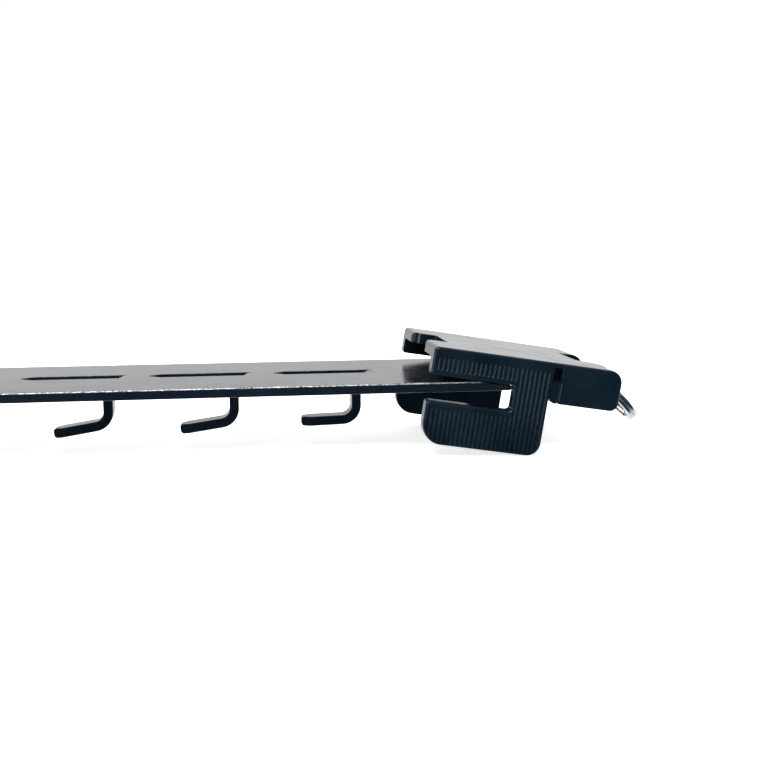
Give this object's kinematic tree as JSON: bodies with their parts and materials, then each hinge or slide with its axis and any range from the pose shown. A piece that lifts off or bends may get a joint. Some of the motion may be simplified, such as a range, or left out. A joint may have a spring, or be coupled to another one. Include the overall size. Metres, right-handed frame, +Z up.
{
  "type": "hook rail",
  "caption": "Flat metal rail with a row of hooks lanced from its underside and a grooved push-on clip with a split ring at each end, for hanging items in a row.",
  "frame": {"origin": "centre of the box under the rail, at the height where the heels of the two clips stand", "axes": "+X along the strip, the way the hooks do not point; +Y across the strip; +Z up, away from the hooks"},
  "size_m": [0.4478, 0.04, 0.024],
  "materials": {
    "strip_enamel": "gloss",
    "clip_enamel": "gloss",
    "ring_chrome": "polished"
  },
  "bodies": {
    "rail": {"hook_rail": "strip_enamel"},
    "clip_right": {"end_clip_right": "clip_enamel"},
    "clip_left": {"end_clip_left": "clip_enamel"},
    "ring_right": {"split_ring_right": "ring_chrome"},
    "ring_left": {"split_ring_left": "ring_chrome"}
  },
  "joints": [
    {"name": "clip_right_slide", "type": "slide", "parent": "rail", "child": "clip_right", "axis": [0.9877, 0, -0.1564], "range_m": [0, 0.022]},
    {"name": "clip_left_slide", "type": "slide", "parent": "rail", "child": "clip_left", "axis": [-0.9877, 0, -0.1564], "range_m": [0, 0.022]},
    {"name": "ring_right_swing", "type": "hinge", "parent": "clip_right", "child": "ring_right", "pos_m": [0.2142, 0, 0.0135], "axis": [0, 1, 0], "range_deg": [-128, 50]},
    {"name": "ring_left_swing", "type": "hinge", "parent": "clip_left", "child": "ring_left", "pos_m": [-0.2142, 0, 0.0135], "axis": [0, -1, 0], "range_deg": [-128, 50]}
  ]
}
